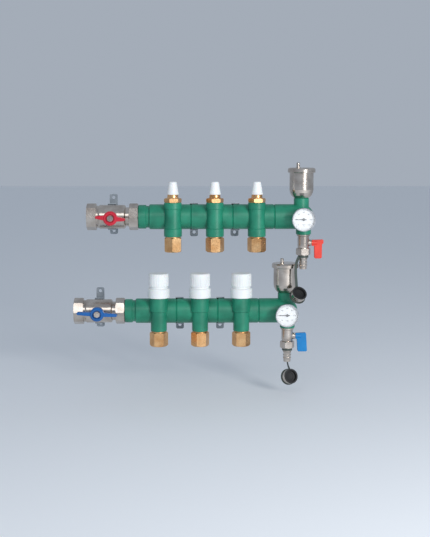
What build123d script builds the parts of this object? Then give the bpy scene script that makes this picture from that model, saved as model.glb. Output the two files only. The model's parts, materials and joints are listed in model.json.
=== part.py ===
from build123d import *
import os
from math import cos, radians, sin, tan

# Underfloor heating manifold: a supply bar above a return bar, each with a ball valve, three
# outlet modules and an end piece that carries an air vent, a thermometer and a drain tap.
# Millimetres. X runs along the bars, +Y points into the wall, +Z is up. The wall is Y = 0.
# The origin is the centre of the supply bar's four middle wall holes.

# ---- driving dimensions: layout -------------------------------------------------------------
STATION_PITCH = 70.0
SUPPLY_AXIS = Vector(0, -46, 10)
RETURN_AXIS = Vector(-25, -34, -152)
TUBE_FORWARD = 18.0          # outlet tubes stand this far in front of the bar's axis
VALVE_X = -173.0             # ball centre, from the middle station
END_X = 146.0                # centre of the end piece, from the middle station
DRAIN_SHIFT = 4.0            # the drain's axis, to the right of the vent's
STATIONS = (-STATION_PITCH, 0.0, STATION_PITCH)
MODULE_LEFT = -40.0          # ends of a module, from its station
MODULE_RIGHT = MODULE_LEFT + STATION_PITCH

# ---- driving dimensions: bar ----------------------------------------------------------------
BARREL_R = 21.0
BAR_BORE_R = 13.5
SPIGOT_R = 17.0
SPIGOT_LENGTH = 12.0
FIT = 0.05                   # radial clearance of pieces that are screwed or fused together
CHAMBER_R = 9.0              # bore of an outlet tube, which takes the valve insert
SEAT_TOP = -13.0
SEAT_R = 6.0
TUBE_TOP = 25.0
TUBE_BOTTOM = -32.0
NIPPLE_R = 10.0

# ---- driving dimensions: outlet fittings ------------------------------------------------------
OUTLET_THREAD_R = 10.8
NUT_ACROSS_FLATS = 27.0
NUT_TOP = -33.0
NUT_BOTTOM = -57.6
PIPE_HOLE_R = 8.6
PIPE_HOLE_TOP = -50.0
RING_BORE_R = 8.8
NUT_TURNS = {"supply": (27, 4, -6), "return": (2, 9, -3)}
SPINDLE_R = 3.2
SPINDLE_TOP = 37.0           # with the valve closed
CONE_TOP = -4.3              # with the cone just off its seat
RUNNING = 0.06               # radial clearance of pieces that turn or slide
CAP_SPIGOT_R = 7.5
CAP_SPIGOT_TOP = 43.0
INSERT_NECK_TOP = 38.4
INSERT_ACROSS_FLATS = 25.5
CONE_CAP_TOP = 59.4
MANUAL_CAP_BOTTOM = 25.3
MANUAL_CAP_TOP = 66.8
M30_R = 14.9
PIN_TOP = 48.0

# ---- driving dimensions: ball valve, measured from the ball's centre --------------------------
BALL_R = 14.6
BALL_BORE_R = 10.5
BALL_GAP = 0.3
SEAT_RING_R = 14.95
INLET_END = -41.5
INLET_THREAD_R = 15.9        # pitch radius of the G1 thread
INLET_DEPTH = 17.0
VALVE_BODY_R = 20.0
OCTAGON_R = 22.5
VALVE_SHOULDER = 23.5
VALVE_THREAD_R = 18.2
VALVE_FACE = 37.0
UNION_LEFT = 29.5
UNION_RIGHT = 44.5
ADAPTER_RIGHT = 58.0
STEM_R = 5.0
STEM_BOSS_FRONT = -27.0
HANDLE_BACK = -29.0
HANDLE_FRONT = -43.0
HANDLE_HUB_R = 11.7
HANDLE_SPAN = {"supply": 50.0, "return": 68.0}
HANDLE_ROOT = {"supply": 4.4, "return": 3.4}      # half thickness of a wing at the hub
HANDLE_TILT = {"supply": 5.0, "return": 3.0}

# ---- driving dimensions: end piece and its fittings, from the end piece's centre --------------
NECK_R = 12.7
NECK_TOP = 31.5
NECK_BOTTOM = -30.0
SOCKET_R = 8.5
VENT_R = 20.2
VENT_TOP = 73.8
VENT_WALL = 1.8
LID_R = 23.2
LID_TOP = 82.2
BLEED_PLACE = (-6.6, -8.0)
BLEED_R = 2.9
BLEED_TOP = 91.0
FLOAT_R = 15.5
FLOAT_BOTTOM = 41.0          # float at rest on the bucket's floor
DIAL_BOSS_FRONT = -34.0
CASE_R = 19.5
CASE_FRONT = -47.0
DIAL_R = 18.0
DIAL_DROP = 2.0              # the thermometer sits this far below the bar's axis
DRAIN_BALL_Z = -44.5
DRAIN_BALL_R = 6.8
DRAIN_BORE_R = 4.0
DRAIN_STEM_R = 2.6
LEVER_LEFT = 14.4
# Front outline of each lever's grip: distance right of the drain's axis, and height.
LEVER_GRIP = {
    "supply": [(14.4, -39.4), (32.6, -38.8), (34.0, -40.2), (34.0, -44.8), (31.6, -47.2),
               (31.4, -69.2), (29.6, -71.0), (20.4, -71.0), (18.6, -69.2), (18.2, -49.6),
               (14.4, -49.6)],
    "return": [(14.4, -39.4), (30.8, -38.6), (32.4, -40.2), (34.2, -69.8), (32.4, -71.6),
               (19.4, -71.6), (17.6, -69.8), (16.4, -49.6), (14.4, -49.6)],
}
HOSE_TAIL_R = 7.2
HOSE_TAIL_BOTTOM = -89.0

# ---- driving dimensions: blanking caps and their straps ---------------------------------------
STRAP_R = 2.0
RING_R = 8.8
RING_TOP = -66.0
RING_HEIGHT = 3.4
BLANKING_R = 12.6
BLANKING_DEPTH = 14.0
BLANKING_WALL = 1.6

# ---- driving dimensions: wall brackets --------------------------------------------------------
BRACKET_WIDTH = 13.6
PLATE = 2.0
CLIP_WALL = 1.5
LINER = 1.0
CLIP_HALF_ANGLE = 95.0
BRACKET_X = (-35.0, 35.0)
MIDDLE_PLATE = (-37.0, 18.0)
MIDDLE_HOLES = (-30.0, 10.0)
VALVE_PLATE = (-33.0, 36.0)
VALVE_HOLES = (-27.0, 30.0)
WALL_HOLE_R = 2.75

BARS = {"supply": SUPPLY_AXIS, "return": RETURN_AXIS}
UP = (0, 0, 1)
DOWN = (0, 0, -1)
RIGHT = (1, 0, 0)
FRONT = (0, -1, 0)


def turn(start, direction, outline, mode=Mode.ADD):
    """Revolve an outline of (distance along the axis, radius) points about an axis."""
    along = Vector(direction)
    helper = Vector(1, 0, 0) if abs(along.Y) > 0.9 * along.length else Vector(0, 1, 0)
    with BuildSketch(Plane(origin=start, x_dir=along, z_dir=along.cross(helper))) as profile:
        with BuildLine():
            Polyline(*outline, close=True)
        make_face()
    revolve(profile.sketch, axis=Axis(start, direction), mode=mode)


def rod(start, direction, length, radius, mode=Mode.ADD):
    """A plain cylinder from start along direction."""
    turn(start, direction, [(0, 0), (length, 0), (length, radius), (0, radius)], mode)


def prism(start, direction, length, across_flats, sides, spin=0.0, mode=Mode.ADD):
    """A regular prism, such as a nut's hexagon, given by its size across the flats."""
    along = Vector(direction)
    helper = Vector(1, 0, 0) if abs(along.Y) > 0.9 * along.length else Vector(0, 1, 0)
    corner = across_flats / 2 / cos(radians(180 / sides))
    with BuildSketch(Plane(origin=start, x_dir=along.cross(helper), z_dir=along)) as profile:
        RegularPolygon(corner, sides, rotation=spin)
    extrude(profile.sketch, amount=length, mode=mode)


def save(name, piece, *places):
    """Place one piece, or copies of it, as a node of the assembly."""
    with BuildPart() as node:
        with Locations(*places):
            add(piece.part)
    node.part.label = name
    export_step(node.part, f"parts/{name}.step")


def on_bar(bar, x, turned=(0, 0, 0)):
    """A place on a bar's axis, x from the middle station."""
    return Location(BARS[bar] + Vector(x, 0, 0), turned)


def on_both(x):
    return [on_bar(bar, x) for bar in BARS]


def on_tube(bar, station, spin=0.0):
    """A place on an outlet tube's axis, level with the bar's axis."""
    return Location(BARS[bar] + Vector(STATIONS[station], -TUBE_FORWARD, 0), (0, 0, spin))


def on_dial(bar):
    return Location(BARS[bar] + Vector(END_X, 0, -DIAL_DROP))


def on_drain(bar):
    return Location(BARS[bar] + Vector(END_X + DRAIN_SHIFT, 0, 0))


# ---- bar --------------------------------------------------------------------------------------
def outlet_module(collar_r, collar_bottom, waist_r, foot_r, foot_top):
    """A barrel with a spigot on its right, and an outlet tube standing in front of it."""
    tube = (0, -TUBE_FORWARD, 0)
    with BuildPart() as module:
        turn((0, 0, 0), RIGHT, [
            (MODULE_LEFT, 0), (MODULE_LEFT, BARREL_R - 1.4), (MODULE_LEFT + 1.4, BARREL_R),
            (MODULE_RIGHT - 1.4, BARREL_R), (MODULE_RIGHT, BARREL_R - 1.4), (MODULE_RIGHT, SPIGOT_R),
            (MODULE_RIGHT + SPIGOT_LENGTH, SPIGOT_R), (MODULE_RIGHT + SPIGOT_LENGTH, 0)])
        turn(tube, UP, [
            (TUBE_BOTTOM, 0), (TUBE_BOTTOM, foot_r - 1), (TUBE_BOTTOM + 1, foot_r),
            (foot_top, foot_r), (foot_top + 1, waist_r), (collar_bottom - 1, waist_r),
            (collar_bottom, collar_r), (TUBE_TOP - 1, collar_r), (TUBE_TOP, collar_r - 1),
            (TUBE_TOP, 0)])
        rod((MODULE_LEFT, 0, 0), RIGHT, SPIGOT_LENGTH + 0.2, SPIGOT_R + FIT, Mode.SUBTRACT)
        rod((MODULE_LEFT, 0, 0), RIGHT, STATION_PITCH + SPIGOT_LENGTH, BAR_BORE_R, Mode.SUBTRACT)
        turn(tube, UP, [
            (TUBE_BOTTOM, 0), (TUBE_BOTTOM, NIPPLE_R + FIT), (-20, NIPPLE_R + FIT),
            (-20, SEAT_R), (SEAT_TOP, SEAT_R), (SEAT_TOP, CHAMBER_R), (TUBE_TOP, CHAMBER_R),
            (TUBE_TOP, 0)], Mode.SUBTRACT)
    return module


def inlet_adapter():
    """The bar's first piece, moulded round the union's tail; origin at the ball's centre."""
    with BuildPart() as adapter:
        turn((0, 0, 0), RIGHT, [
            (UNION_RIGHT + 0.3, 15.1 + FIT), (UNION_RIGHT + 0.3, 19), (UNION_RIGHT + 1.3, 20),
            (ADAPTER_RIGHT - 1, 20), (ADAPTER_RIGHT, 19), (ADAPTER_RIGHT, 18.3),
            (ADAPTER_RIGHT + 5, 18.3), (ADAPTER_RIGHT + 5, SPIGOT_R),
            (ADAPTER_RIGHT + 5 + SPIGOT_LENGTH, SPIGOT_R),
            (ADAPTER_RIGHT + 5 + SPIGOT_LENGTH, BAR_BORE_R), (ADAPTER_RIGHT - 2, BAR_BORE_R),
            (ADAPTER_RIGHT - 2, 15.1 + FIT)])
    return adapter


def end_piece():
    """Barrel with a domed end, sockets above, below and in front; origin at the dome's centre."""
    left = STATIONS[-1] + MODULE_RIGHT - END_X
    drain = (DRAIN_SHIFT, 0, 0)
    with BuildPart() as end:
        turn((0, 0, 0), RIGHT, [
            (left, 0), (left, BARREL_R - 1.4), (left + 1.4, BARREL_R), (0, BARREL_R), (0, 0)])
        Sphere(BARREL_R)
        turn((0, 0, 0), UP, [
            (0, 0), (0, NECK_R), (NECK_TOP - 1, NECK_R), (NECK_TOP, NECK_R - 1), (NECK_TOP, 0)])
        turn(drain, DOWN, [
            (0, 0), (0, NECK_R), (-NECK_BOTTOM - 1, NECK_R), (-NECK_BOTTOM, NECK_R - 1),
            (-NECK_BOTTOM, 0)])
        rod((0, 0, -DIAL_DROP), FRONT, -DIAL_BOSS_FRONT, 13)
        rod((left, 0, 0), RIGHT, SPIGOT_LENGTH + 0.2, SPIGOT_R + FIT, Mode.SUBTRACT)
        rod((left, 0, 0), RIGHT, -left, BAR_BORE_R, Mode.SUBTRACT)
        Sphere(BAR_BORE_R, mode=Mode.SUBTRACT)
        rod((0, 0, 0), UP, 60, 5, Mode.SUBTRACT)
        rod((0, 0, NECK_TOP - 12), UP, 20, SOCKET_R + FIT, Mode.SUBTRACT)
        rod(drain, DOWN, 60, 5, Mode.SUBTRACT)
        rod((DRAIN_SHIFT, 0, NECK_BOTTOM + 12), DOWN, 20, SOCKET_R + FIT, Mode.SUBTRACT)
        rod((0, 0, -DIAL_DROP), FRONT, 60, 4.5 + FIT, Mode.SUBTRACT)
    return end


# ---- ball valve; origins at the ball's centre ---------------------------------------------------
def valve_body():
    """Nickel-plated body: octagonal inlet, round body, male thread for the union nut."""
    with BuildPart() as body:
        prism((INLET_END, 0, 0), RIGHT, 16, 2 * OCTAGON_R * cos(radians(22.5)), 8)
        turn((0, 0, 0), RIGHT, [
            (INLET_END, 0), (INLET_END, OCTAGON_R - 1), (INLET_END + 1.2, OCTAGON_R + 0.2),
            (INLET_END + 14.8, OCTAGON_R + 0.2), (INLET_END + 16, OCTAGON_R - 1),
            (INLET_END + 16, 0)], Mode.INTERSECT)
        turn((0, 0, 0), RIGHT, [
            (INLET_END + 15, 0), (INLET_END + 15, 18.6), (INLET_END + 19, 18.6),
            (INLET_END + 22, VALVE_BODY_R), (VALVE_SHOULDER - 2, VALVE_BODY_R),
            (VALVE_SHOULDER, VALVE_BODY_R - 2), (VALVE_SHOULDER, 16), (UNION_LEFT - 1, 16),
            (UNION_LEFT - 0.4, VALVE_THREAD_R), (VALVE_FACE, VALVE_THREAD_R), (VALVE_FACE, 0)])
        rod((0, 0, 0), FRONT, -STEM_BOSS_FRONT, 9.5)
        rod((INLET_END, 0, 0), RIGHT, INLET_DEPTH, INLET_THREAD_R, Mode.SUBTRACT)
        rod((INLET_END, 0, 0), RIGHT, 16 - INLET_END, 15.0, Mode.SUBTRACT)
        rod((0, 0, 0), RIGHT, VALVE_FACE, BALL_BORE_R, Mode.SUBTRACT)
        rod((0, 0, 0), FRONT, -STEM_BOSS_FRONT, STEM_R + RUNNING, Mode.SUBTRACT)
    return body


def ball_seat_pair():
    """Two sealing rings with 45 degree faces, the inlet one with its retaining sleeve."""
    cone = (BALL_R + BALL_GAP) * 2 ** 0.5      # along plus radius, anywhere on the 45 degree face
    with BuildPart() as seats:
        for side, back in ((RIGHT, 15.9), ((-1, 0, 0), 24.3)):
            turn((0, 0, 0), side, [
                (cone - BALL_BORE_R, BALL_BORE_R), (cone - 13.4, 13.4), (cone - 13.4, SEAT_RING_R),
                (back, SEAT_RING_R), (back, BALL_BORE_R)])
    return seats


def ball_and_stem():
    """Drilled ball, the stem that turns it, and the nut that holds the handle on."""
    stem_foot = -BALL_R - 0.2
    with BuildPart() as ball:
        Sphere(BALL_R)
        rod((-BALL_R, 0, 0), RIGHT, 2 * BALL_R, BALL_BORE_R, Mode.SUBTRACT)
        with Locations((0, -BALL_R, 0)):
            Box(9, 6, 3.4, mode=Mode.SUBTRACT)
        prism((0, -39.1, 0), FRONT, 4.0, 9.0, 6, spin=12)
        rod((0, -39.1, 0), FRONT, 4.0, 3.0 + FIT, Mode.SUBTRACT)
        rod((0, stem_foot, 0), FRONT, 39.0 + stem_foot, STEM_R)
        rod((0, -38.6, 0), FRONT, 6.0, 3.0)
        with Locations((0, stem_foot + 1.2, 0)):
            Box(8, 3.2, 3.2)
    return ball


def butterfly_handle(span, root):
    """A hub with two tapering wings; the nut sits in the hub's recess."""
    half = span / 2
    with BuildPart() as handle:
        with BuildSketch(Plane(origin=(0, HANDLE_BACK - 3, 0), x_dir=RIGHT, z_dir=FRONT)):
            with BuildLine():
                Polyline((-half + 2, -2.4), (-9, -root), (9, -root), (half - 2, -2.4), (half, -0.8),
                         (half, 0.8), (half - 2, 2.4), (9, root), (-9, root), (-half + 2, 2.4),
                         (-half, 0.8), (-half, -0.8), close=True)
            make_face()
        extrude(amount=HANDLE_BACK - 3 - HANDLE_FRONT - 1.2)
        fillet(handle.faces().sort_by(Axis.Y)[0].edges(), radius=1.2)
        turn((0, 0, 0), FRONT, [
            (-HANDLE_BACK, 0), (-HANDLE_BACK, HANDLE_HUB_R - 1), (-HANDLE_BACK + 1, HANDLE_HUB_R),
            (-HANDLE_FRONT - 2, HANDLE_HUB_R), (-HANDLE_FRONT, HANDLE_HUB_R - 2),
            (-HANDLE_FRONT, 0)])
        rod((0, -39.0, 0), FRONT, 6, 7.4, Mode.SUBTRACT)
        rod((0, 0, 0), FRONT, 40, STEM_R + FIT, Mode.SUBTRACT)
    return handle


def union_nut():
    with BuildPart() as nut:
        prism((UNION_LEFT, 0, 0), RIGHT, UNION_RIGHT - UNION_LEFT,
              2 * OCTAGON_R * cos(radians(22.5)), 8)
        turn((0, 0, 0), RIGHT, [
            (UNION_LEFT, 0), (UNION_LEFT, OCTAGON_R - 1.2), (UNION_LEFT + 1.6, OCTAGON_R + 0.2),
            (UNION_RIGHT - 1.6, OCTAGON_R + 0.2), (UNION_RIGHT, OCTAGON_R - 1.2),
            (UNION_RIGHT, 0)], Mode.INTERSECT)
        rod((UNION_LEFT, 0, 0), RIGHT, 10.8, VALVE_THREAD_R + FIT, Mode.SUBTRACT)
        rod((UNION_LEFT, 0, 0), RIGHT, 30, 15.1 + FIT, Mode.SUBTRACT)
    return nut


def union_tail():
    """The flanged tail that the union nut pulls against the valve's face."""
    with BuildPart() as tail:
        turn((0, 0, 0), RIGHT, [
            (VALVE_FACE + 0.1, 12.5), (VALVE_FACE + 0.1, 17.8), (UNION_LEFT + 10.7, 17.8),
            (UNION_LEFT + 10.7, 15.1), (ADAPTER_RIGHT - 2.1, 15.1), (ADAPTER_RIGHT - 2.1, 12.5)])
    return tail


# ---- outlet fittings; origins on the tube's axis, level with the bar's axis ----------------------
def regulating_insert():
    """Brass insert screwed into a supply tube, with the spigot that the conical cap sits on."""
    with BuildPart() as insert:
        prism((0, 0, TUBE_TOP + 0.1), UP, 7.0, INSERT_ACROSS_FLATS, 6, spin=8)
        turn((0, 0, 0), UP, [
            (TUBE_TOP + 0.1, 0), (TUBE_TOP + 0.1, 13.6), (TUBE_TOP + 1.2, 14.7),
            (TUBE_TOP + 5.8, 14.7), (TUBE_TOP + 7.1, 13.3), (TUBE_TOP + 7.1, 0)], Mode.INTERSECT)
        turn((0, 0, 0), UP, [
            (6, 0), (6, CHAMBER_R - FIT), (TUBE_TOP + 7.1, CHAMBER_R - FIT), (TUBE_TOP + 7.1, 10.8),
            (TUBE_TOP + 8.6, 9.2), (INSERT_NECK_TOP - 1, 9.0), (INSERT_NECK_TOP - 0.1, 8.6),
            (INSERT_NECK_TOP - 0.1, CAP_SPIGOT_R), (CAP_SPIGOT_TOP - 0.6, CAP_SPIGOT_R),
            (CAP_SPIGOT_TOP, CAP_SPIGOT_R - 0.6), (CAP_SPIGOT_TOP, 0)])
        rod((0, 0, 0), UP, 60, SPINDLE_R + RUNNING, Mode.SUBTRACT)
        rod((0, 0, CAP_SPIGOT_TOP - 6), UP, 10, 5.2, Mode.SUBTRACT)
    return insert


def regulating_spindle():
    """Screwed up and down by a key in its socket; its foot carries the cone."""
    with BuildPart() as spindle:
        rod((0, 0, CONE_TOP - 3), UP, SPINDLE_TOP - CONE_TOP + 3, SPINDLE_R)
        rod((0, 0, CONE_TOP - 7), UP, 5, 2.0)
        prism((0, 0, SPINDLE_TOP - 4), UP, 6, 4.0, 6, mode=Mode.SUBTRACT)
    return spindle


def regulating_cone():
    """Throttling cone above the seat."""
    with BuildPart() as cone:
        turn((0, 0, 0), UP, [
            (CONE_TOP - 9.2, 0), (CONE_TOP - 9.2, 4.4), (CONE_TOP - 7.6, 7.4), (CONE_TOP - 0.6, 7.4),
            (CONE_TOP, 6.8), (CONE_TOP, 0)])
        rod((0, 0, CONE_TOP - 7.1), UP, 20, 2.0 + RUNNING, Mode.SUBTRACT)
        rod((0, 0, CONE_TOP - 3.1), UP, 20, SPINDLE_R + RUNNING, Mode.SUBTRACT)
    return cone


def regulating_cap():
    """White conical cap pushed onto the insert's spigot."""
    with BuildPart() as cap:
        turn((0, 0, 0), UP, [
            (INSERT_NECK_TOP, 0), (INSERT_NECK_TOP, 9.9), (INSERT_NECK_TOP + 2.6, 9.9),
            (INSERT_NECK_TOP + 3.2, 9.4), (CONE_CAP_TOP - 1.2, 6.7), (CONE_CAP_TOP, 5.6),
            (CONE_CAP_TOP, 0)])
        rod((0, 0, INSERT_NECK_TOP), UP, 5.0, CAP_SPIGOT_R + RUNNING, Mode.SUBTRACT)
    return cap


def thermostatic_insert():
    """Brass insert of a return tube, with the M30 x 1.5 thread for a cap or an actuator."""
    with BuildPart() as insert:
        turn((0, 0, 0), UP, [
            (6, 0), (6, CHAMBER_R - FIT), (TUBE_TOP + 0.1, CHAMBER_R - FIT), (TUBE_TOP + 0.1, 13.6),
            (TUBE_TOP + 1.6, 13.6), (TUBE_TOP + 2.2, M30_R), (TUBE_TOP + 12, M30_R),
            (TUBE_TOP + 13, M30_R - 1), (TUBE_TOP + 13, 6), (TUBE_TOP + 19, 6), (TUBE_TOP + 19, 0)])
        rod((0, 0, 0), UP, 60, 2.0 + RUNNING, Mode.SUBTRACT)
    return insert


def valve_pin():
    """Spring-loaded pin with the return valve's sealing disc at its foot."""
    with BuildPart() as pin:
        rod((0, 0, -9), UP, PIN_TOP + 9, 2.0)
        turn((0, 0, 0), UP, [(SEAT_TOP + 0.3, 0), (SEAT_TOP + 0.3, 7.6), (-9.2, 7.6), (-8.4, 6.4), (-8.4, 0)])
    return pin


def manual_cap():
    """White fluted cap: a skirt, a groove and an upper grip."""
    flutes = 24
    grip_bottom = MANUAL_CAP_BOTTOM + 19.5
    with BuildPart() as cap:
        turn((0, 0, 0), UP, [
            (MANUAL_CAP_BOTTOM, 0), (MANUAL_CAP_BOTTOM, 17.8), (MANUAL_CAP_BOTTOM + 0.8, 18.5),
            (MANUAL_CAP_BOTTOM + 14.4, 18.5), (MANUAL_CAP_BOTTOM + 15.8, 17.6),
            (MANUAL_CAP_BOTTOM + 16.4, 15.4), (grip_bottom, 15.4), (grip_bottom, 16.4),
            (grip_bottom + 1, 17.1), (MANUAL_CAP_TOP - 2.2, 16.9), (MANUAL_CAP_TOP - 0.6, 16.2),
            (MANUAL_CAP_TOP, 15), (MANUAL_CAP_TOP, 0)])
        with BuildSketch(Plane.XY.offset(grip_bottom)):
            with PolarLocations(17.8, flutes):
                Circle(1.15)
        extrude(amount=30, mode=Mode.SUBTRACT)
        rod((0, 0, 0), UP, TUBE_TOP + 13.6, M30_R + FIT, Mode.SUBTRACT)
        rod((0, 0, 0), UP, PIN_TOP + 0.05, 6.3, Mode.SUBTRACT)
    return cap


def outlet_nipple():
    """Brass nipple moulded into the foot of a tube, with the outlet's male thread."""
    with BuildPart() as nipple:
        turn((0, 0, 0), UP, [
            (-44.5, 6), (-44.5, 10), (-43.7, OUTLET_THREAD_R), (-33.4, OUTLET_THREAD_R),
            (-33.4, 12.2), (TUBE_BOTTOM - 0.1, 12.2), (TUBE_BOTTOM - 0.1, NIPPLE_R),
            (-20.1, NIPPLE_R), (-20.1, 6)])
    return nipple


def compression_ring():
    with BuildPart() as ring:
        turn((0, 0, 0), UP, [
            (PIPE_HOLE_TOP + 0.1, RING_BORE_R), (PIPE_HOLE_TOP + 0.1, 10.6), (-46.4, 10.6),
            (-44.7, 9.6), (-44.7, RING_BORE_R)])
    return ring


def compression_nut():
    with BuildPart() as nut:
        prism((0, 0, NUT_BOTTOM), UP, NUT_TOP - NUT_BOTTOM - 0.5, NUT_ACROSS_FLATS, 6)
        turn((0, 0, 0), UP, [
            (NUT_BOTTOM, 0), (NUT_BOTTOM, 13.2), (NUT_BOTTOM + 2.2, 15.6), (NUT_TOP - 2, 15.6),
            (NUT_TOP - 0.5, 13.8), (NUT_TOP - 0.5, 0)], Mode.INTERSECT)
        rod((0, 0, NUT_BOTTOM), UP, 40, PIPE_HOLE_R, Mode.SUBTRACT)
        rod((0, 0, PIPE_HOLE_TOP), UP, 40, OUTLET_THREAD_R + FIT, Mode.SUBTRACT)
    return nut


# ---- air vent; origins at the end piece's centre -------------------------------------------------
def vent_body():
    with BuildPart() as vent:
        turn((0, 0, 0), UP, [
            (NECK_TOP - 11.8, 0), (NECK_TOP - 11.8, SOCKET_R), (NECK_TOP + 0.1, SOCKET_R),
            (NECK_TOP + 0.1, 12.2), (NECK_TOP + 1.2, 14.2), (NECK_TOP + 4.5, 17.2),
            (NECK_TOP + 9, 19.2), (NECK_TOP + 14, VENT_R), (VENT_TOP, VENT_R), (VENT_TOP, 0)])
        turn((0, 0, 0), UP, [
            (NECK_TOP + 4, 0), (NECK_TOP + 4, 12), (NECK_TOP + 6, 15.8),
            (NECK_TOP + 14, VENT_R - VENT_WALL), (VENT_TOP, VENT_R - VENT_WALL), (VENT_TOP, 0)],
            Mode.SUBTRACT)
        rod((0, 0, 0), UP, 60, 4.5, Mode.SUBTRACT)
    return vent


def vent_lid():
    """Screwed lid with a skirt inside the bucket and an off-centre bleed boss."""
    x, y = BLEED_PLACE
    with BuildPart() as lid:
        turn((0, 0, 0), UP, [
            (VENT_TOP - 4, VENT_R - VENT_WALL - FIT - 2), (VENT_TOP - 4, VENT_R - VENT_WALL - FIT),
            (VENT_TOP + 0.1, VENT_R - VENT_WALL - FIT), (VENT_TOP + 0.1, LID_R - 0.8),
            (VENT_TOP + 0.9, LID_R), (LID_TOP - 2.6, LID_R), (LID_TOP - 0.7, LID_R - 1.2),
            (LID_TOP, LID_R - 4), (LID_TOP, 0), (VENT_TOP + 3, 0),
            (VENT_TOP + 3, VENT_R - VENT_WALL - FIT - 2)])
        rod((x, y, LID_TOP - 1), UP, 2.2, 3.6)
        rod((x, y, LID_TOP - 1), UP, 6.4, 1.6)
    return lid


def bleed_cap():
    x, y = BLEED_PLACE
    with BuildPart() as cap:
        turn((x, y, 0), UP, [
            (LID_TOP + 1.5, 0), (LID_TOP + 1.5, BLEED_R), (BLEED_TOP - 0.8, BLEED_R),
            (BLEED_TOP, BLEED_R - 0.8), (BLEED_TOP, 0)])
        rod((x, y, LID_TOP), UP, 6, 1.6 + RUNNING, Mode.SUBTRACT)
        with BuildSketch(Plane.XY.offset(BLEED_TOP - 1.2)):
            with Locations((x, y)):
                Rectangle(0.9, 8)
        extrude(amount=2, mode=Mode.SUBTRACT)
    return cap


def vent_float():
    """Hollow float drawn as its outer shape, with the needle that closes the vent."""
    with BuildPart() as float_piece:
        turn((0, 0, 0), UP, [
            (FLOAT_BOTTOM, 0), (FLOAT_BOTTOM, FLOAT_R - 1), (FLOAT_BOTTOM + 1, FLOAT_R),
            (FLOAT_BOTTOM + 18, FLOAT_R), (FLOAT_BOTTOM + 19, FLOAT_R - 1), (FLOAT_BOTTOM + 19, 1.2),
            (FLOAT_BOTTOM + 23, 1.2), (FLOAT_BOTTOM + 24, 0)])
    return float_piece


# ---- thermometer; origins on its own axis, level with the end piece ------------------------------------------------
def thermometer_case():
    with BuildPart() as case:
        turn((0, 0, 0), FRONT, [
            (34.1, 4.5 + FIT), (34.1, CASE_R - 2.4), (35.5, CASE_R - 0.6), (45.6, CASE_R - 0.6),
            (46, CASE_R), (46.5, CASE_R), (-CASE_FRONT, CASE_R - 0.9), (-CASE_FRONT, DIAL_R),
            (45.7, DIAL_R), (45.7, DIAL_R + 0.6), (38, DIAL_R + 0.6), (38, 4.5 + FIT)])
    return case


def thermometer_dial():
    with BuildPart() as dial:
        turn((0, 0, 0), FRONT, [(41, 1.2), (41, DIAL_R + 0.5), (41.8, DIAL_R + 0.5), (41.8, 1.2)])
    return dial


def thermometer_lens():
    with BuildPart() as lens:
        turn((0, 0, 0), FRONT, [(44.4, 0), (44.4, DIAL_R + 0.5), (45.6, DIAL_R + 0.5), (45.6, 0)])
    return lens


def thermometer_stem():
    """Probe sleeve that reaches into the water, with a bearing for the pointer's spindle."""
    with BuildPart() as stem:
        rod((0, -15, 0), FRONT, 25.8, 4.5)
        rod((0, -30, 0), FRONT, 20, 0.7 + RUNNING, Mode.SUBTRACT)
    return stem


def pointer():
    """Needle pointing left, on a thin spindle."""
    with BuildPart() as needle:
        rod((0, -31, 0), FRONT, 12.2, 0.7)
        rod((0, -42.3, 0), FRONT, 1.2, 2.2)
        with BuildSketch(Plane(origin=(0, -42.4, 0), x_dir=RIGHT, z_dir=FRONT)):
            with BuildLine():
                Polyline((-14.5, -0.25), (0, -0.9), (4.6, -0.7), (4.6, 0.7), (0, 0.9), (-14.5, 0.25),
                         close=True)
            make_face()
        extrude(amount=0.6)
    return needle


# ---- drain tap; origins on the drain's axis, level with the bar's axis -------------------------------
def drain_body():
    with BuildPart() as drain:
        turn((0, 0, 0), DOWN, [
            (18.2, 0), (18.2, SOCKET_R), (30.1, SOCKET_R), (30.1, 11.4), (32.4, 11.4), (33.4, 9.8),
            (49, 9.8), (51, 9.4), (53.4, 9.2), (60, 9.2), (60, 0)])
        rod((0, 0, DRAIN_BALL_Z), RIGHT, 13.0, 5.6)
        rod((0, 0, 0), DOWN, 80, DRAIN_BORE_R + 0.5, Mode.SUBTRACT)
        with Locations((0, 0, DRAIN_BALL_Z)):
            Sphere(DRAIN_BALL_R + BALL_GAP, mode=Mode.SUBTRACT)
        rod((0, 0, DRAIN_BALL_Z), RIGHT, 20, DRAIN_STEM_R + RUNNING, Mode.SUBTRACT)
    return drain


def drain_ball():
    """Drilled ball with its stem, which comes out to the right."""
    with BuildPart() as ball:
        with Locations((0, 0, DRAIN_BALL_Z)):
            Sphere(DRAIN_BALL_R)
        rod((0, 0, 0), DOWN, 80, DRAIN_BORE_R, Mode.SUBTRACT)
        rod((5.2, 0, DRAIN_BALL_Z), RIGHT, 17, DRAIN_STEM_R)
    return ball


def drain_lever(grip):
    """A hub on the stem and a flat grip that hangs down beside the tap."""
    with BuildPart() as lever:
        with BuildSketch(Plane(origin=(0, 3.2, 0), x_dir=RIGHT, z_dir=FRONT)):
            with BuildLine():
                Polyline(*grip, close=True)
            make_face()
        extrude(amount=6.4)
        fillet(lever.edges().filter_by(GeomType.LINE).group_by(Axis.Y)[0], radius=0.9)
        fillet(lever.edges().filter_by(GeomType.LINE).group_by(Axis.Y)[-1], radius=0.9)
        rod((LEVER_LEFT - 0.4, 0, DRAIN_BALL_Z), RIGHT, 9, 4.6)
        rod((0, 0, DRAIN_BALL_Z), RIGHT, 22.4, DRAIN_STEM_R + FIT, Mode.SUBTRACT)
    return lever


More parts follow.
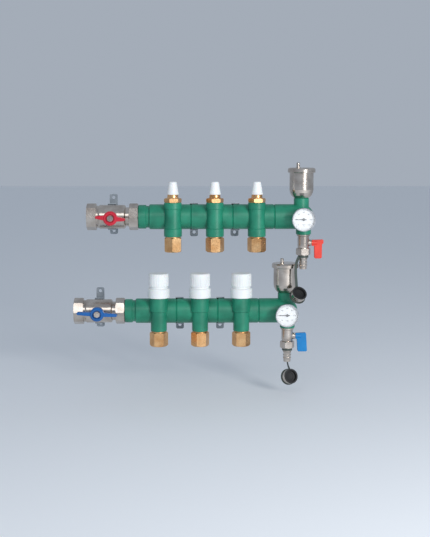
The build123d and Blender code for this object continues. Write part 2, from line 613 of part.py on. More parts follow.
def drain_nut():
    with BuildPart() as nut:
        prism((0, 0, -65), UP, 11.6, 22.0, 6, spin=10)
        turn((0, 0, 0), DOWN, [
            (53.4, 0), (53.4, 11.4), (54.8, 12.8), (63.4, 12.8), (65, 11), (65, 0)],
            Mode.INTERSECT)
        rod((0, 0, -66), UP, 20, HOSE_TAIL_R + FIT, Mode.SUBTRACT)
        rod((0, 0, -61.8), UP, 20, 9.2 + FIT, Mode.SUBTRACT)
    return nut


def hose_tail():
    """Barbed tail held by its flange."""
    barbs = []
    for step in range(3):
        top = 71.6 + 5 * step
        barbs += [(top, HOSE_TAIL_R), (top + 4, HOSE_TAIL_R - 1.0), (top + 4.9, HOSE_TAIL_R - 1.0)]
    with BuildPart() as tail:
        turn((0, 0, 0), DOWN, [
            (60.1, 4.8), (60.1, 9.1), (61.7, 9.1), (61.7, HOSE_TAIL_R), (71, HOSE_TAIL_R),
            (71, HOSE_TAIL_R - 1.0), *barbs, (-HOSE_TAIL_BOTTOM, HOSE_TAIL_R - 1.2),
            (-HOSE_TAIL_BOTTOM, 4.8)])
    return tail


# ---- blanking caps on straps; origins on the drain's axis ---------------------------------------------
# The mouth's direction, the cap's centre and the strap's route from the ring to the cap's edge.
CAP_AXIS = {"supply": Vector(0.28, -0.72, 0.63), "return": Vector(0.38, -0.88, 0.30)}
CAP_CENTRE = {"supply": Vector(-10.1, -22, -131.2), "return": Vector(3.3, -7, -114.6)}
STRAP_ROUTE = {
    "supply": [(-7.9, -5.5, -68.2), (-12.2, -9.5, -75.5), (-14.0, -14.0, -87), (-13.8, -17.4, -98.5),
               (-12.8, -18.6, -109.5), (-12.1, -17.4, -119.6)],
    "return": [(2.2, 9.4, -68.2), (1.6, 17.0, -71.8), (1.2, 22.6, -80.4), (1.8, 22.0, -90.6),
               (2.8, 16.0, -98.6), (3.9, 7.2, -102.4), (4.6, -2.2, -102.9)],
}


def strap_ring():
    with BuildPart() as ring:
        turn((0, 0, 0), DOWN, [
            (-RING_TOP, HOSE_TAIL_R + FIT), (-RING_TOP, RING_R), (-RING_TOP + RING_HEIGHT, RING_R),
            (-RING_TOP + RING_HEIGHT, HOSE_TAIL_R + FIT)])
    return ring


def cap_strap(points):
    """A slack strap: straight runs joined by arcs as large as the runs allow."""
    route = [Vector(*point) for point in points]
    runs = [after - before for before, after in zip(route, route[1:])]
    radii = []
    for before, after in zip(runs, runs[1:]):
        half_turn = radians(before.get_angle(after)) / 2
        radii.append(0.45 * min(before.length, after.length) / tan(half_turn))
    print("strap radii", [round(radius, 1) for radius in radii])
    with BuildPart() as strap:
        with BuildLine() as path:
            FilletPolyline(*route, radius=radii)
        with BuildSketch(Plane(origin=route[0], z_dir=runs[0])):
            Circle(STRAP_R)
        sweep(path=path.wires()[0])
    length = sum(edge.length for edge in path.edges())
    print("strap length", round(length, 1), "volume ratio",
          round(strap.part.volume / (3.14159265 * STRAP_R**2 * length), 4))
    return strap


def blanking_cap(mouth, centre):
    """A round cap nut, open towards its mouth."""
    back = centre - mouth.normalized() * (BLANKING_DEPTH / 2)
    with BuildPart() as cap:
        turn(back, mouth, [
            (0, 0), (0, BLANKING_R - 1.6), (1.4, BLANKING_R), (BLANKING_DEPTH - 0.8, BLANKING_R),
            (BLANKING_DEPTH, BLANKING_R - 0.6), (BLANKING_DEPTH, BLANKING_R - BLANKING_WALL),
            (2.4, BLANKING_R - BLANKING_WALL), (2.4, 0)])
    return cap


# ---- wall brackets; origins on the bar's axis ------------------------------------------------------------
def clip_band(inner_r, thickness):
    """The C-shaped band of a clip, open to the front."""
    reach = 3 * BARREL_R
    half = radians(CLIP_HALF_ANGLE)
    mouth = [(0, 0), (-reach * cos(half), reach * sin(half)), (-reach, reach), (-reach, -reach),
             (-reach * cos(half), -reach * sin(half))]
    side = Plane(origin=(-BRACKET_WIDTH / 2, 0, 0), x_dir=(0, -1, 0), z_dir=(1, 0, 0))
    with BuildSketch(side) as band:
        Circle(inner_r + thickness)
        Circle(inner_r, mode=Mode.SUBTRACT)
        with BuildLine():
            Polyline(*[(-a, b) for a, b in mouth], close=True)
        make_face(mode=Mode.SUBTRACT)
    extrude(band.sketch, amount=BRACKET_WIDTH)


def wall_bracket(wall, held_r, plate, holes):
    """Galvanised plate with two screw holes, a stud and a C-shaped clip."""
    inner_r = held_r + LINER + 0.04
    middle = (plate[0] + plate[1]) / 2
    with BuildPart() as bracket:
        clip_band(inner_r, CLIP_WALL)
        rod((0, inner_r + CLIP_WALL - 0.6, 0), (0, 1, 0), wall - inner_r - CLIP_WALL, 4.0)
        prism((0, inner_r + CLIP_WALL - 0.6, 0), (0, 1, 0), 5.0, 13.0, 6)
        with BuildSketch(Plane(origin=(0, wall - PLATE, middle), x_dir=RIGHT, z_dir=(0, 1, 0))):
            RectangleRounded(BRACKET_WIDTH, plate[1] - plate[0], 3)
        extrude(amount=PLATE)
        for height in holes:
            rod((0, wall - 2 * PLATE, height), (0, 1, 0), 4 * PLATE, WALL_HOLE_R, Mode.SUBTRACT)
    return bracket


def bracket_liner(held_r):
    with BuildPart() as liner:
        clip_band(held_r + 0.02, LINER)
    return liner


# ---- assembly ----------------------------------------------------------------------------------------
os.makedirs("parts", exist_ok=True)

tubes = {
    "supply": outlet_module(collar_r=14.6, collar_bottom=15, waist_r=13.6, foot_r=15.0, foot_top=-19),
    "return": outlet_module(collar_r=15.5, collar_bottom=2, waist_r=13.6, foot_r=13.6, foot_top=-29),
}
for bar in BARS:
    for number, station in enumerate(STATIONS, start=1):
        save(f"{bar}_module_{number}", tubes[bar], on_bar(bar, station))

save("inlet_adapters", inlet_adapter(), *on_both(VALVE_X))
save("end_pieces", end_piece(), *on_both(END_X))
save("valve_bodies", valve_body(), *on_both(VALVE_X))
save("ball_seats", ball_seat_pair(), *on_both(VALVE_X))
save("valve_union_nuts", union_nut(), *on_both(VALVE_X))
save("valve_union_tails", union_tail(), *on_both(VALVE_X))
valve_ball = ball_and_stem()
for bar, tilt in HANDLE_TILT.items():
    save(f"{bar}_ball_and_stem", valve_ball, on_bar(bar, VALVE_X, (0, tilt, 0)))
    save(f"{bar}_handle", butterfly_handle(HANDLE_SPAN[bar], HANDLE_ROOT[bar]),
         on_bar(bar, VALVE_X, (0, tilt, 0)))

supply_tubes = [on_tube("supply", number) for number in range(3)]
return_tubes = [on_tube("return", number) for number in range(3)]
save("regulating_inserts", regulating_insert(), *supply_tubes)
save("thermostatic_inserts", thermostatic_insert(), *return_tubes)
save("outlet_nipples", outlet_nipple(), *supply_tubes, *return_tubes)
save("compression_rings", compression_ring(), *supply_tubes, *return_tubes)
turned_nuts = [on_tube(bar, n, spin) for bar in BARS for n, spin in enumerate(NUT_TURNS[bar])]
save("compression_nuts", compression_nut(), *turned_nuts)
station_pieces = [
    ("supply", "regulating_spindle", regulating_spindle()),
    ("supply", "regulating_cone", regulating_cone()),
    ("supply", "regulating_cap", regulating_cap()),
    ("return", "valve_pin", valve_pin()),
    ("return", "manual_cap", manual_cap()),
]
for bar, name, piece in station_pieces:
    for number in range(3):
        save(f"{name}_{number + 1}", piece, on_tube(bar, number))

save("vent_bodies", vent_body(), *on_both(END_X))
save("vent_lids", vent_lid(), *on_both(END_X))
dial_places = [on_dial(bar) for bar in BARS]
save("thermometer_cases", thermometer_case(), *dial_places)
save("thermometer_dials", thermometer_dial(), *dial_places)
save("thermometer_lenses", thermometer_lens(), *dial_places)
save("thermometer_stems", thermometer_stem(), *dial_places)
needle = pointer()
for bar in BARS:
    save(f"{bar}_bleed_cap", bleed_cap(), on_bar(bar, END_X))
    save(f"{bar}_float", vent_float(), on_bar(bar, END_X))
    save(f"{bar}_pointer", needle, on_dial(bar))

drains = [on_drain(bar) for bar in BARS]
save("drain_bodies", drain_body(), *drains)
save("drain_nuts", drain_nut(), *drains)
save("hose_tails", hose_tail(), *drains)
save("strap_rings", strap_ring(), *drains)
tap_ball = drain_ball()
for bar, place in zip(BARS, drains):
    save(f"{bar}_drain_ball", tap_ball, place)
    save(f"{bar}_drain_lever", drain_lever(LEVER_GRIP[bar]), place)

with BuildPart() as straps:
    for bar, place in zip(BARS, drains):
        with Locations(place):
            add(cap_strap(STRAP_ROUTE[bar]).part)
save("cap_straps", straps, Location())
with BuildPart() as caps:
    for bar, place in zip(BARS, drains):
        with Locations(place):
            add(blanking_cap(CAP_AXIS[bar], CAP_CENTRE[bar]).part)
save("blanking_caps", caps, Location())

with BuildPart() as brackets:
    for bar, axis in BARS.items():
        with Locations(*[on_bar(bar, x) for x in BRACKET_X]):
            add(wall_bracket(-axis.Y, BARREL_R, MIDDLE_PLATE, MIDDLE_HOLES).part)
        with Locations(on_bar(bar, VALVE_X)):
            add(wall_bracket(-axis.Y, VALVE_BODY_R, VALVE_PLATE, VALVE_HOLES).part)
save("wall_brackets", brackets, Location())
with BuildPart() as liners:
    with Locations(*[on_bar(bar, x) for bar in BARS for x in BRACKET_X]):
        add(bracket_liner(BARREL_R).part)
    with Locations(*on_both(VALVE_X)):
        add(bracket_liner(VALVE_BODY_R).part)
save("bracket_liners", liners, Location())
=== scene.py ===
"""Looks of an underfloor heating manifold: two green plastic bars with brass and nickel fittings."""

import json
import math

import bpy
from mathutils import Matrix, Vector


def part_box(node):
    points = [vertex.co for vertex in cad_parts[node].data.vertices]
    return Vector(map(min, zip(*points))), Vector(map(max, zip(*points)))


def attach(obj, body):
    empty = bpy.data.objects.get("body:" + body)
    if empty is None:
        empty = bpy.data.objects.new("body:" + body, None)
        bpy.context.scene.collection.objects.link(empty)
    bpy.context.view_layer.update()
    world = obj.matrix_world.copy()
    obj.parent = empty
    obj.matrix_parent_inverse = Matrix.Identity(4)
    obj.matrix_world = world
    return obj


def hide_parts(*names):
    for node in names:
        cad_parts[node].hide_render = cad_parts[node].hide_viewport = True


MM = 0.001
BARS = ("supply", "return")

# drain taps, from the axes of the bar and of the vent above
DRAIN_SIDE = 4 * MM
DRAIN_BALL_DROP = 44.5 * MM

# thermometer faces, in millimetres
FACE_RADIUS = 17.8
FACE_STANDOFF = 0.42
FACE_THICKNESS = 0.08
FIGURE_STANDOFF = 0.53
FIGURE_RING = 11.8
FIGURE_HEIGHT = 2.3
UNIT_DROP = 9.6
UNIT_HEIGHT = 3.2
LETTER_SHARE = 0.7  # a figure's height as a share of the font's size
INK_THICKNESS = 0.02
SCALE_END_DEG = 135
FIGURE_STEP_DEG = 45
FIGURE_STEP = 20
FIGURE_COUNT = 7

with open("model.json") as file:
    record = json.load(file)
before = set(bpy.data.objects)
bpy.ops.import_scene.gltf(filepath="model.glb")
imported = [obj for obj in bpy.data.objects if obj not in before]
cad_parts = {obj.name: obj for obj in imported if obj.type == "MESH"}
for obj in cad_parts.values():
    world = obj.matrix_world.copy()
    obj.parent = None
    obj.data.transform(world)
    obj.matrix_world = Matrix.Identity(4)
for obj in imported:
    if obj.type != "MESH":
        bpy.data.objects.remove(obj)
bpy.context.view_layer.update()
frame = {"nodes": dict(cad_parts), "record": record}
nodes = frame["nodes"]


# ---------------------------------------------------------------- places taken from the frame
def middle(node_name):
    """Centre of a CAD node's box."""
    low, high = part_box(node_name)
    return (low + high) / 2


def drain_axis(bar):
    """A point on the drain tap's axis, level with the bar's axis."""
    ball = middle(f"{bar}_drain_ball")
    return Vector((middle(f"{bar}_float").x + DRAIN_SIDE, ball.y, ball.z + DRAIN_BALL_DROP))


def dial_front(bar):
    """The middle of a thermometer's dial, on its front face."""
    drop = middle("supply_pointer").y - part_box("thermometer_dials")[0].y
    pointer = middle(f"{bar}_pointer")
    return Vector((middle(f"{bar}_float").x, pointer.y - drop, pointer.z))


# ---------------------------------------------------------------- materials
def linear(hex_colour):
    """sRGB hex to the linear colour that shaders take."""
    channels = [int(hex_colour[i:i + 2], 16) / 255 for i in (1, 3, 5)]
    return [c / 12.92 if c <= 0.04045 else ((c + 0.055) / 1.055) ** 2.4 for c in channels] + [1]


def node(tree, kind, inputs=None, **settings):
    """Add one shader node. inputs gives a value, or the socket to link from, for each input."""
    made = tree.nodes.new(kind)
    for name, value in settings.items():
        setattr(made, name, value)
    for key, value in (inputs or {}).items():
        if isinstance(value, bpy.types.NodeSocket):
            tree.links.new(value, made.inputs[key])
        else:
            made.inputs[key].default_value = value
    return made


def material(name, colour, roughness, metallic=0.0, **sockets):
    """A new material with its Principled shader set; gives the material, its tree and the shader."""
    made = bpy.data.materials.new(name)
    made.use_nodes = True
    tree = made.node_tree
    shader = tree.nodes["Principled BSDF"]
    shader.inputs["Base Color"].default_value = linear(colour)
    shader.inputs["Roughness"].default_value = roughness
    shader.inputs["Metallic"].default_value = metallic
    for socket, value in sockets.items():
        shader.inputs[socket.replace("_", " ")].default_value = value
    return made, tree, shader


def surface(made, tree, shader, light, dark, cloud_mm, rough, grain_mm, bump_mm):
    """Slow clouds between two colours, and a fine grain in the gloss and in the height."""
    place = node(tree, "ShaderNodeTexCoord").outputs["Object"]
    cloud = node(tree, "ShaderNodeTexNoise",
                 {"Vector": place, "Scale": 1 / (cloud_mm * MM), "Detail": 4})
    spread = node(tree, "ShaderNodeMapRange",
                  {"Value": cloud.outputs["Fac"], "From Min": 0.35, "From Max": 0.65})
    tint = node(tree, "ShaderNodeMixRGB", {"Fac": spread.outputs["Result"], "Color1": linear(dark),
                                           "Color2": linear(light)})
    grain = node(tree, "ShaderNodeTexNoise",
                 {"Vector": place, "Scale": 1 / (grain_mm * MM), "Detail": 4})
    gloss = node(tree, "ShaderNodeMapRange", {"Value": grain.outputs["Fac"], "From Min": 0.3,
                                              "From Max": 0.7, "To Min": rough[0], "To Max": rough[1]})
    height = node(tree, "ShaderNodeBump", {"Height": grain.outputs["Fac"], "Strength": 0.3,
                                           "Distance": bump_mm * MM})
    tree.links.new(tint.outputs["Color"], shader.inputs["Base Color"])
    tree.links.new(gloss.outputs["Result"], shader.inputs["Roughness"])
    tree.links.new(height.outputs["Normal"], shader.inputs["Normal"])
    return made


def moulded_plastic(name, light, dark, rough, grain_mm=0.9, bump_mm=0.05, **sockets):
    """Injection-moulded plastic: faint flow marks in the colour and a fine tool grain.

    The grain is drawn coarser than the real one, which would be too fine to show.
    """
    flow_mark_mm = 22
    made, tree, shader = material(name, light, rough, **sockets)
    return surface(made, tree, shader, light, dark, flow_mark_mm, (rough - 0.05, rough + 0.07),
                   grain_mm, bump_mm)


def plated_metal(name, light, dark, rough, grain_mm=1.6, bump_mm=0.02):
    """Turned or pressed metal: slightly cloudy colour, handling marks in the gloss."""
    cloud_mm = 16
    made, tree, shader = material(name, light, rough[0], metallic=1.0)
    return surface(made, tree, shader, light, dark, cloud_mm, rough, grain_mm, bump_mm)


def printed_dial(name):
    """White enamelled dial with a printed scale, drawn round the middle of the piece's UV map."""
    enamel, ink_colour = "#F6F7F7", "#55585C"
    scale_outside, scale_half_deg = 16.6, SCALE_END_DEG + 1
    made, tree, shader = material(name, enamel, 0.5)
    place = node(tree, "ShaderNodeTexCoord").outputs["UV"]
    centred = node(tree, "ShaderNodeVectorMath", {0: place, 1: (0.5, 0.5, 0)}, operation="SUBTRACT")
    sized = node(tree, "ShaderNodeVectorMath", {0: centred.outputs["Vector"], "Scale": 2 * FACE_RADIUS},
                 operation="SCALE")
    radius = node(tree, "ShaderNodeVectorMath", {0: sized.outputs["Vector"]}, operation="LENGTH")
    parts = node(tree, "ShaderNodeSeparateXYZ", {"Vector": sized.outputs["Vector"]})
    # angle from straight up, so that the scale leaves a gap of 90 degrees at the bottom
    angle = node(tree, "ShaderNodeMath", {0: parts.outputs["X"], 1: parts.outputs["Y"]},
                 operation="ARCTAN2")
    turned = node(tree, "ShaderNodeMath", {0: angle.outputs[0]}, operation="ABSOLUTE")
    in_scale = node(tree, "ShaderNodeMath", {0: turned.outputs[0], 1: math.radians(scale_half_deg)},
                    operation="LESS_THAN")
    ink = None
    # fine ticks, then long ones: their spacing, where they start and half their width
    for step_deg, inner_mm, half_mm in ((5.625, 15.4, 0.11), (22.5, 14.2, 0.2)):
        from_tick = node(tree, "ShaderNodeMath", {0: turned.outputs[0], 1: math.radians(step_deg / 2)},
                         operation="PINGPONG")
        away = node(tree, "ShaderNodeMath", {0: from_tick.outputs[0], 1: radius.outputs["Value"]},
                    operation="MULTIPLY")
        thin = node(tree, "ShaderNodeMath", {0: away.outputs[0], 1: half_mm}, operation="LESS_THAN")
        outside = node(tree, "ShaderNodeMath", {0: radius.outputs["Value"], 1: inner_mm},
                       operation="GREATER_THAN")
        tick = node(tree, "ShaderNodeMath", {0: thin.outputs[0], 1: outside.outputs[0]},
                    operation="MULTIPLY")
        if ink is None:
            ink = tick
        else:
            ink = node(tree, "ShaderNodeMath", {0: ink.outputs[0], 1: tick.outputs[0]},
                       operation="MAXIMUM")
    inside = node(tree, "ShaderNodeMath", {0: radius.outputs["Value"], 1: scale_outside},
                  operation="LESS_THAN")
    ringed = node(tree, "ShaderNodeMath", {0: ink.outputs[0], 1: inside.outputs[0]},
                  operation="MULTIPLY")
    printed = node(tree, "ShaderNodeMath", {0: ringed.outputs[0], 1: in_scale.outputs[0]},
                   operation="MULTIPLY")
    tint = node(tree, "ShaderNodeMixRGB", {"Fac": printed.outputs[0], "Color1": linear(enamel),
                                           "Color2": linear(ink_colour)})
    tree.links.new(tint.outputs["Color"], shader.inputs["Base Color"])
    return made


MATERIALS = {
    # PP-R welding polypropylene, injection moulded: satin, slightly waxy green
    "green_ppr": moulded_plastic("ppr_green", "#24896B", "#19745A", 0.38, IOR=1.49),
    # nickel-plated brass: warm grey, bright but not a mirror
    "nickel_brass": plated_metal("nickel_plated_brass", "#D6CCC2", "#B9ADA2", (0.15, 0.27)),
    # turned brass, unplated: pinkish yellow, browner where it has been handled
    "brass": plated_metal("turned_brass", "#F0C18C", "#D8A26C", (0.22, 0.38)),
    # turned white seat rings, matt and waxy
    "ptfe": moulded_plastic("ptfe_turned", "#F2F2EE", "#EAEAE4", 0.5),
    # drawn and chromed steel case of the thermometer
    "case_metal": plated_metal("chromed_steel_case", "#D3D4D6", "#C2C4C7", (0.2, 0.32)),
    # dial plate, enamelled white
    "dial_white": printed_dial("enamelled_dial"),
    # clear acrylic window, thin enough that it only adds a faint gloss over the dial
    "lens_glass": material("clear_acrylic", "#FFFFFF", 0.06, IOR=1.49, Alpha=0.12)[0],
    # EPDM rubber: black, matt
    "black_rubber": moulded_plastic("epdm_rubber", "#1A1A1B", "#121213", 0.62, bump_mm=0.08),
    # galvanised sheet: pale bluish grey with a faint spangle
    "zinc_steel": plated_metal("galvanised_steel", "#A4ABB1", "#848C93", (0.42, 0.56), grain_mm=5),
    # ABS levers of the ball valves, glossy
    "red_handle_plastic": moulded_plastic("abs_signal_red", "#D02238", "#BE1C31", 0.30,
                                          Coat_Weight=0.2),
    "blue_handle_plastic": moulded_plastic("abs_signal_blue", "#0A63AE", "#07579C", 0.30,
                                           Coat_Weight=0.2),
    # nylon levers of the drain taps, satin
    "red_lever_plastic": moulded_plastic("nylon_coral_red", "#E8402F", "#DA3626", 0.36),
    "blue_lever_plastic": moulded_plastic("nylon_sky_blue", "#0084C8", "#0078BA", 0.36),
    # polypropylene float, natural off-white
    "float_plastic": moulded_plastic("pp_float", "#E8E6DA", "#DEDCCF", 0.5),
    # blackened brass needle
    "pointer_black": moulded_plastic("blackened_needle", "#16171A", "#101113", 0.45, bump_mm=0.01),
    # ABS caps: clean white with a soft sheen
    "white_cap_plastic": moulded_plastic("abs_white", "#EFF1F0", "#E7EAE9", 0.38, Subsurface_Weight=0.05,
                                         Subsurface_Scale=0.003),
    # ground stainless pin
    "pin_steel": plated_metal("ground_steel", "#C9CBCD", "#B9BBBE", (0.18, 0.30)),
}
# soft grey-green PVC of the straps, paler than the rubber
STRAP_PVC = moulded_plastic("soft_pvc_strap", "#4A544E", "#3A433E", 0.5)
SLOT_OF = {entry["node"]: entry["material_slot"] for entry in frame["record"]["subparts"]}


def dress(obj, look):
    """Give an object one material."""
    obj.data.materials.clear()
    obj.data.materials.append(look)


for name, cad_node in nodes.items():
    dress(cad_node, MATERIALS[SLOT_OF[name]])
dress(nodes["strap_rings"], STRAP_PVC)


# ---------------------------------------------------------------- modelling helpers
def deselect():
    """Select nothing."""
    bpy.ops.object.select_all(action="DESELECT")


def edit(obj):
    """Clear the selection inside one object, and leave the object active."""
    if bpy.context.mode != "OBJECT":
        bpy.ops.object.mode_set(mode="OBJECT")
    deselect()
    obj.select_set(True)
    bpy.context.view_layer.objects.active = obj
    bpy.ops.object.mode_set(mode="EDIT")
    bpy.ops.mesh.select_mode(type="FACE")
    bpy.ops.mesh.select_all(action="DESELECT")
    bpy.ops.object.mode_set(mode="OBJECT")
    return obj


def pick_faces(obj, chosen):
    """Select the faces for which chosen(face) holds, and go on in edit mode."""
    edit(obj)
    for face in obj.data.polygons:
        face.select = chosen(face)
    bpy.ops.object.mode_set(mode="EDIT")


def finish(obj, name, body, slot_name, look=None):
    """Apply a piece's place, name it, give it its look and let it ride on a body."""
    bpy.ops.object.mode_set(mode="OBJECT")
    obj.name = name
    deselect()
    obj.select_set(True)
    bpy.context.view_layer.objects.active = obj
    bpy.ops.object.transform_apply(location=True, rotation=True, scale=True)
    dress(obj, look or MATERIALS[slot_name])
    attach(obj, body)
    return obj


# ---------------------------------------------------------------- straps of the blanking caps
STRAP_WIDTH = 6 * MM
STRAP_THICKNESS = 1.8 * MM
STRAP_ROUTE = {
    "supply": [(-7.9, -5.5, -68.2), (-12.2, -9.5, -75.5), (-14.0, -14.0, -87), (-13.8, -17.4, -98.5),
               (-12.8, -18.6, -109.5), (-12.1, -17.4, -119.6)],
    "return": [(2.2, 9.4, -68.2), (1.6, 17.0, -71.8), (1.2, 22.6, -80.4), (1.8, 22.0, -90.6),
               (2.8, 16.0, -98.6), (3.9, 7.2, -102.4), (4.6, -2.2, -102.9)],
}
CAP_AXIS = {"supply": Vector((0.28, -0.72, 0.63)), "return": Vector((0.38, -0.88, 0.30))}
CAP_CENTRE = {"supply": Vector((-10.1, -22, -131.2)), "return": Vector((3.3, -7, -114.6))}
CAP_HALF_DEPTH = 7


def cap_axis(bar):
    """Direction in which a blanking cap's mouth faces."""
    return CAP_AXIS[bar].normalized()


def cap_strap(bar):
    """A limp flat strap, a smooth curve through its few route points."""
    curve = bpy.data.curves.new(f"{bar}_cap_strap", "CURVE")
    curve.dimensions = "3D"
    points = [drain_axis(bar) + Vector(point) * MM for point in STRAP_ROUTE[bar]]
    spline = curve.splines.new("NURBS")
    spline.points.add(len(points) - 1)
    for control, point in zip(spline.points, points):
        control.co = (*point, 1)
    spline.order_u = 3
    spline.use_endpoint_u = True
    spline.resolution_u = 12
    curve.extrude = (STRAP_WIDTH - STRAP_THICKNESS) / 2
    curve.bevel_depth = STRAP_THICKNESS / 2
    curve.bevel_resolution = 4
    curve.use_fill_caps = True
    strap = bpy.data.objects.new(f"{bar}_cap_strap", curve)
    bpy.context.scene.collection.objects.link(strap)
    dress(strap, STRAP_PVC)
    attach(strap, "manifold")
    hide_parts("cap_straps")


def cap_place(bar, along_mm):
    """A place on a blanking cap's axis, and the turn that lays a primitive's Z along that axis."""
    axis = cap_axis(bar)
    place = drain_axis(bar) + (CAP_CENTRE[bar] + axis * along_mm) * MM
    return place, axis.to_track_quat("Z", "Y").to_euler()


def cap_seal(bar):
    """The black rubber cup seal that lines a blanking cap, its lip turned over the mouth's rim."""
    lip, lip_radius, clearance = 0.9, 12.75, 0.02
    cup_wall, cup_depth, plug_step = 1.85, 9.5, 0.8
    mouth_rim, mouth_depth, plug_rim = 2.9, 5.2, 3.2
    inwards = cap_axis(bar) * -MM
    place, turned = cap_place(bar, CAP_HALF_DEPTH + lip / 2 + clearance)
    deselect()
    bpy.ops.mesh.primitive_cylinder_add(vertices=64, radius=lip_radius * MM, depth=lip * MM,
                                        end_fill_type="NGON", location=place, rotation=turned)
    seal = bpy.context.object
    pick_faces(seal, lambda face: face.normal.z < -0.9)
    bpy.ops.mesh.inset(thickness=cup_wall * MM)
    bpy.ops.mesh.extrude_region_move(TRANSFORM_OT_translate={"value": inwards * cup_depth})
    pick_faces(seal, lambda face: face.normal.z > 0.9)
    bpy.ops.mesh.inset(thickness=mouth_rim * MM)
    bpy.ops.mesh.extrude_region_move(TRANSFORM_OT_translate={"value": inwards * mouth_depth})
    bpy.ops.mesh.inset(thickness=plug_rim * MM)
    bpy.ops.mesh.extrude_region_move(TRANSFORM_OT_translate={"value": inwards * plug_step})
    bpy.ops.object.mode_set(mode="OBJECT")
    bpy.ops.object.modifier_add(type="BEVEL")
    seal.modifiers["Bevel"].width = 0.3 * MM
    seal.modifiers["Bevel"].segments = 3
    bpy.ops.object.modifier_apply(modifier="Bevel")
    bpy.ops.object.shade_smooth_by_angle(angle=math.radians(35))
    finish(seal, f"{bar}_cap_seal", "manifold", "black_rubber")


def cap_ring(bar):
    """The strap's end ring, stretched round the blanking cap."""
    behind_centre, ring_radius, band_radius, band_stretch = 3.4, 13.2, 0.75, 2.0
    place, turned = cap_place(bar, -behind_centre)
    deselect()
    bpy.ops.mesh.primitive_torus_add(location=place, rotation=turned, major_segments=72,
                                     minor_segments=16, major_radius=ring_radius * MM,
                                     minor_radius=band_radius * MM)
    ring = bpy.context.object
    edit(ring)
    bpy.ops.object.mode_set(mode="EDIT")
    bpy.ops.mesh.select_all(action="SELECT")
    # a flat band rather than a round cord
    bpy.ops.transform.resize(value=(1, 1, band_stretch), orient_type="LOCAL", center_override=place)
    bpy.ops.object.mode_set(mode="OBJECT")
    bpy.ops.object.shade_smooth()
    finish(ring, f"{bar}_cap_ring", "manifold", "black_rubber", STRAP_PVC)


# ---------------------------------------------------------------- thermometer faces
def dial_face(bar, dial):
    """Printed face on the front of the dial plate."""
    deselect()
    bpy.ops.mesh.primitive_circle_add(vertices=96, radius=FACE_RADIUS * MM, fill_type="NGON",
                                      location=dial + Vector((0, -FACE_STANDOFF, 0)) * MM,
                                      rotation=(math.radians(90), 0, 0))
    face = bpy.context.object
    pick_faces(face, lambda polygon: True)
    bpy.ops.mesh.extrude_region_move(TRANSFORM_OT_translate={"value": (0, -FACE_THICKNESS * MM, 0)})
    bpy.ops.mesh.select_all(action="SELECT")
    bpy.ops.mesh.normals_make_consistent(inside=False)
    finish(face, f"{bar}_dial_face", "manifold", "dial_white")


def dial_text(words, height_mm, place, name):
    """Raised ink: a line of figures, as a thin mesh."""
    deselect()
    bpy.ops.object.text_add(location=place, rotation=(math.radians(90), 0, 0))
    text = bpy.context.object
    text.data.body = words
    text.data.size = height_mm * MM / LETTER_SHARE
    text.data.align_x = "CENTER"
    text.data.align_y = "CENTER"
    text.data.extrude = INK_THICKNESS * MM
    text.data.resolution_u = 4
    bpy.ops.object.convert(target="MESH")
    text = bpy.context.object
    text.name = name
    return text


def dial_figures(bar, dial):
    """Figures from 0 to 120 round the scale, and the unit below the needle."""
    front = dial + Vector((0, -FIGURE_STANDOFF, 0)) * MM
    lines = []
    for step in range(FIGURE_COUNT):
        angle = math.radians(FIGURE_STEP_DEG * step - SCALE_END_DEG)
        place = front + Vector((math.sin(angle), 0, math.cos(angle))) * FIGURE_RING * MM
        lines.append(dial_text(str(FIGURE_STEP * step), FIGURE_HEIGHT, place, f"{bar}_figure_{step}"))
    lines.append(dial_text("°C", UNIT_HEIGHT, front - Vector((0, 0, UNIT_DROP)) * MM, f"{bar}_unit"))
    deselect()
    for line in lines:
        line.select_set(True)
    bpy.context.view_layer.objects.active = lines[0]
    bpy.ops.object.join()
    finish(lines[0], f"{bar}_dial_figures", "manifold", "pointer_black")


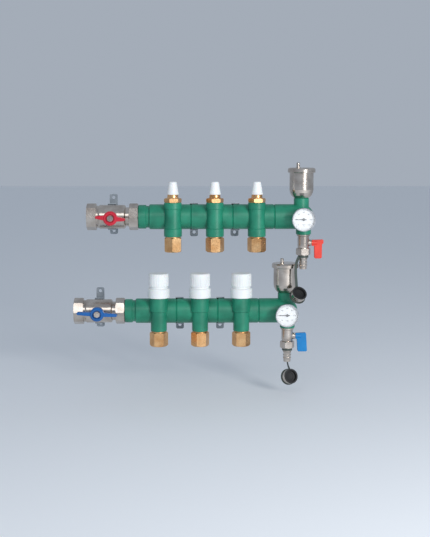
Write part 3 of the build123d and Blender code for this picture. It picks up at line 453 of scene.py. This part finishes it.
# ---------------------------------------------------------------- stage, light and camera
def pale_floor():
    """The plain pale floor, a little below the manifold, which hangs free so that its back shows."""
    deselect()
    bpy.ops.mesh.primitive_plane_add(size=16, location=(0, 0, -0.30))
    floor = bpy.context.object
    floor.name = "floor"
    dress(floor, material("floor_paint", "#F2F5F8", 0.8)[0])


def soft_light(name, place, target, size, power):
    """A white rectangular lamp turned towards a target."""
    light = bpy.data.lights.new(name, "AREA")
    light.shape = "RECTANGLE"
    light.size, light.size_y = size
    light.energy = power
    lamp = bpy.data.objects.new(name, light)
    lamp.location = place
    lamp.rotation_euler = (Vector(target) - Vector(place)).to_track_quat("-Z", "Y").to_euler()
    bpy.context.scene.collection.objects.link(lamp)


def lights():
    """A soft key from the right, a weak fill from above, and an even pale sky."""
    centre = (0, -0.05, -0.07)
    soft_light("key_right", (1.0, -1.75, 0.35), centre, (0.5, 0.4), 20)
    soft_light("fill_above", (0.1, -2.0, 1.0), centre, (2.0, 0.7), 9)
    world = bpy.data.worlds.new("studio")
    world.use_nodes = True
    world.node_tree.nodes["Background"].inputs["Color"].default_value = linear("#DAE5F4")
    world.node_tree.nodes["Background"].inputs["Strength"].default_value = 0.53
    bpy.context.scene.world = world


def camera():
    """Seen nearly straight on and a little from above."""
    aim = Vector((0.0005, -0.046, -0.078))
    distance = 1.8
    seen_width = 0.729
    azimuth = math.radians(-1)
    elevation = math.radians(7)
    away = Vector((math.sin(azimuth) * math.cos(elevation),
                   -math.cos(azimuth) * math.cos(elevation),
                   math.sin(elevation)))
    lens = bpy.data.cameras.new("camera")
    lens.sensor_fit = "HORIZONTAL"
    lens.sensor_width = 36
    lens.lens = lens.sensor_width * distance / seen_width
    eye = bpy.data.objects.new("camera", lens)
    eye.location = aim + away * distance
    eye.rotation_euler = (-away).to_track_quat("-Z", "Y").to_euler()
    bpy.context.scene.collection.objects.link(eye)
    bpy.context.scene.camera = eye
    bpy.context.scene.view_settings.view_transform = "Standard"


camera()
pale_floor()
lights()
for bar in BARS:
    cap_strap(bar)
    cap_seal(bar)
    cap_ring(bar)
    dial_face(bar, dial_front(bar))
    dial_figures(bar, dial_front(bar))
